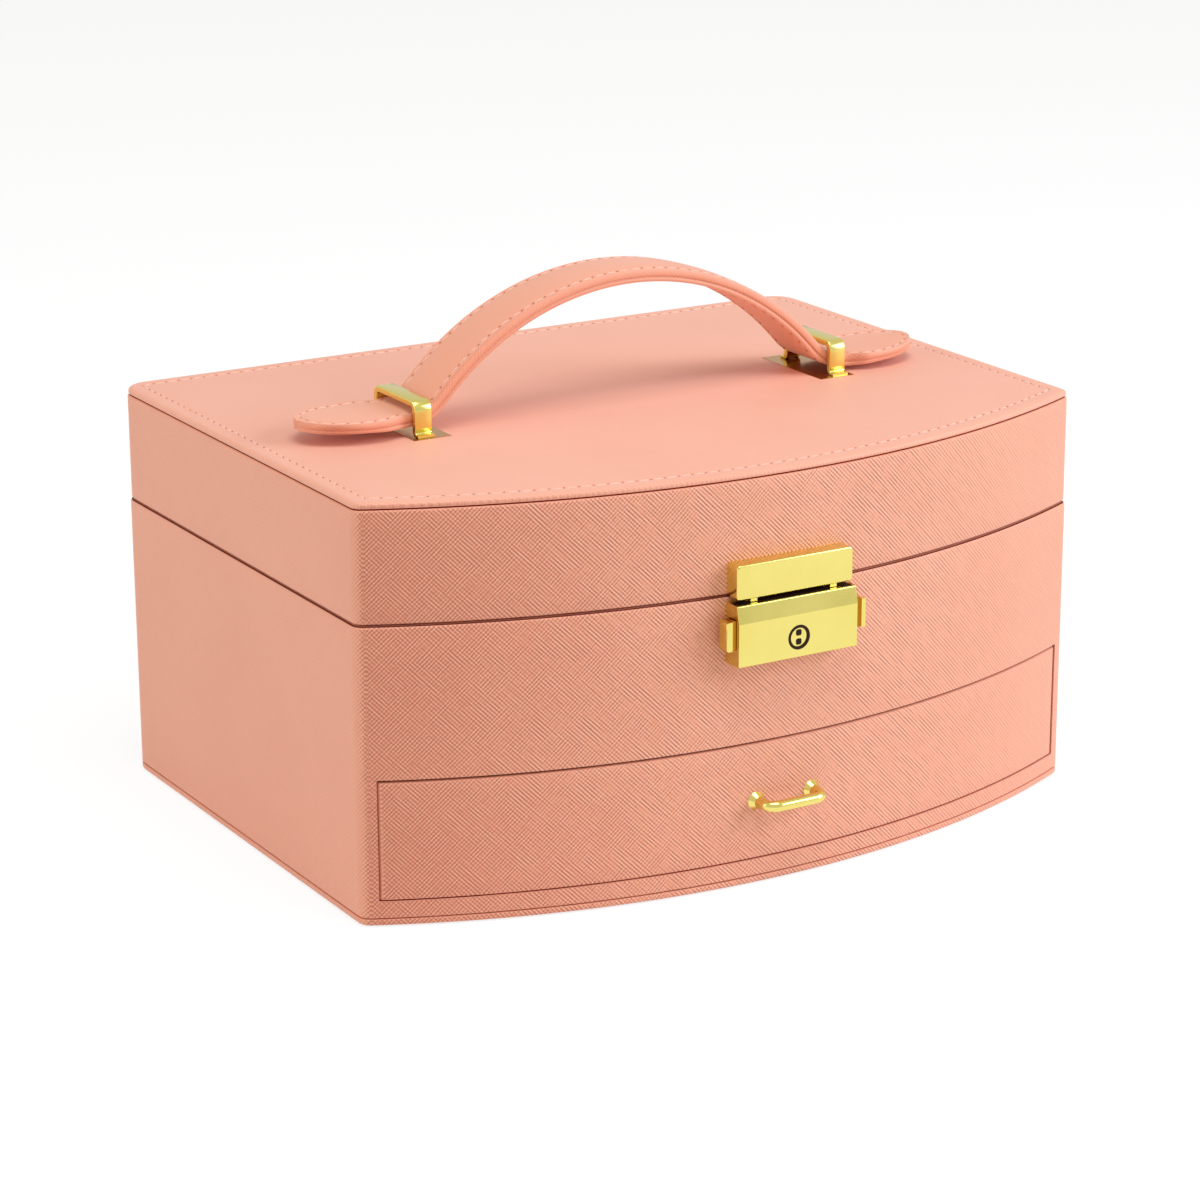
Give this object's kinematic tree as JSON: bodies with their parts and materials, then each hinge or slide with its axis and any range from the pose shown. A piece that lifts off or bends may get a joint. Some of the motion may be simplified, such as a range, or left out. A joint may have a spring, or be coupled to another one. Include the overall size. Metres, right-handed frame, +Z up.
{
  "type": "jewellery box",
  "caption": "Bow-fronted jewellery box in grained leatherette with a hinged lid, strap handle, press lock with key barrel, ring-roll tray, lid mirror and a full-width drawer.",
  "frame": {"origin": "on the underside, at the middle of the box's plan", "axes": "+Z up, +X to the right seen from the front, the bowed front faces -Y"},
  "size_m": [0.22, 0.1842, 0.1481],
  "materials": {
    "leatherette": "fine cross-hatch grain, satin",
    "strap_leather": "smooth to fine grain, satin, stitched edges",
    "board": "raw fibreboard",
    "velvet": "short velvet pile",
    "underside_cloth": "non-woven cloth",
    "gold": "polished gold plate",
    "steel": "zinc plated",
    "mirror_glass": "silvered glass",
    "stiff_core": "plain moulded"
  },
  "bodies": {
    "case": {"underside_sheet": "underside_cloth", "base_plate": "leatherette", "bay_floor": "board", "side_boards": "board", "back_board": "board", "front_board": "board", "front_rail": "board", "case_cover": "leatherette", "shelf_board": "board", "drawer_runners": "board", "drawer_stop": "board", "tray_floor_pad": "velvet", "tray_lining": "velvet", "tray_dividers": "velvet", "ring_rolls": "velvet", "lock_body": "gold", "lock_back_plate": "steel", "lock_screws": "steel", "button_spring_left": "steel", "button_spring_right": "steel", "hinge_case_leaves": "gold", "hinge_pins": "gold", "hinge_case_screws": "gold"},
    "lid": {"lid_deck": "board", "lid_back_board": "board", "lid_front_board": "board", "lid_side_boards": "board", "lid_cover": "leatherette", "panel_board": "board", "panel_cover": "leatherette", "lid_wall_lining": "velvet", "lid_ceiling_lining": "velvet", "mirror": "mirror_glass", "mirror_frame": "leatherette", "hasp_plate": "gold", "hasp_prongs": "gold", "hasp_screws": "steel", "loop_plates": "gold", "handle_loops": "gold", "loop_nuts": "steel", "hinge_lid_leaves": "gold", "hinge_lid_screws": "gold"},
    "handle": {"handle_strap_bottom": "strap_leather", "handle_strap_top": "strap_leather", "handle_core": "stiff_core"},
    "drawer": {"drawer_front": "board", "drawer_front_cover": "leatherette", "drawer_sides": "board", "drawer_back": "board", "drawer_bottom": "board", "drawer_lining": "velvet", "drawer_dividers": "velvet", "drawer_pull": "gold", "pull_screws": "steel"},
    "button_left": {"catch_button_left": "gold", "catch_slide_left": "steel"},
    "button_right": {"catch_button_right": "gold", "catch_slide_right": "steel"},
    "barrel": {"key_barrel": "gold", "lock_cam": "steel"}
  },
  "joints": [
    {"name": "lid_hinge", "type": "hinge", "parent": "case", "child": "lid", "pos_m": [0, 0.0871, 0.07995], "axis": [-1, 0, 0], "range_deg": [0, 95]},
    {"name": "handle_press", "type": "slide", "parent": "lid", "child": "handle", "axis": [0, 0, -1], "range_m": [0, 0.022], "stiffness_N_per_m": 150, "springref_m": -0.004, "deforming": ["handle_strap_bottom", "handle_strap_top"]},
    {"name": "drawer_slide", "type": "slide", "parent": "case", "child": "drawer", "axis": [0, -1, 0], "range_m": [0, 0.12]},
    {"name": "button_left_press", "type": "slide", "parent": "case", "child": "button_left", "axis": [1, 0, 0], "range_m": [0, 0.0015], "stiffness_N_per_m": 500, "springref_m": -0.002, "deforming": ["button_spring_left"]},
    {"name": "button_right_press", "type": "slide", "parent": "case", "child": "button_right", "axis": [-1, 0, 0], "range_m": [0, 0.0015], "stiffness_N_per_m": 500, "springref_m": -0.002, "deforming": ["button_spring_right"]},
    {"name": "key_turn", "type": "hinge", "parent": "case", "child": "barrel", "pos_m": [0, -0.09, 0.0678], "axis": [0, 1, 0], "range_deg": [0, 90]}
  ]
}
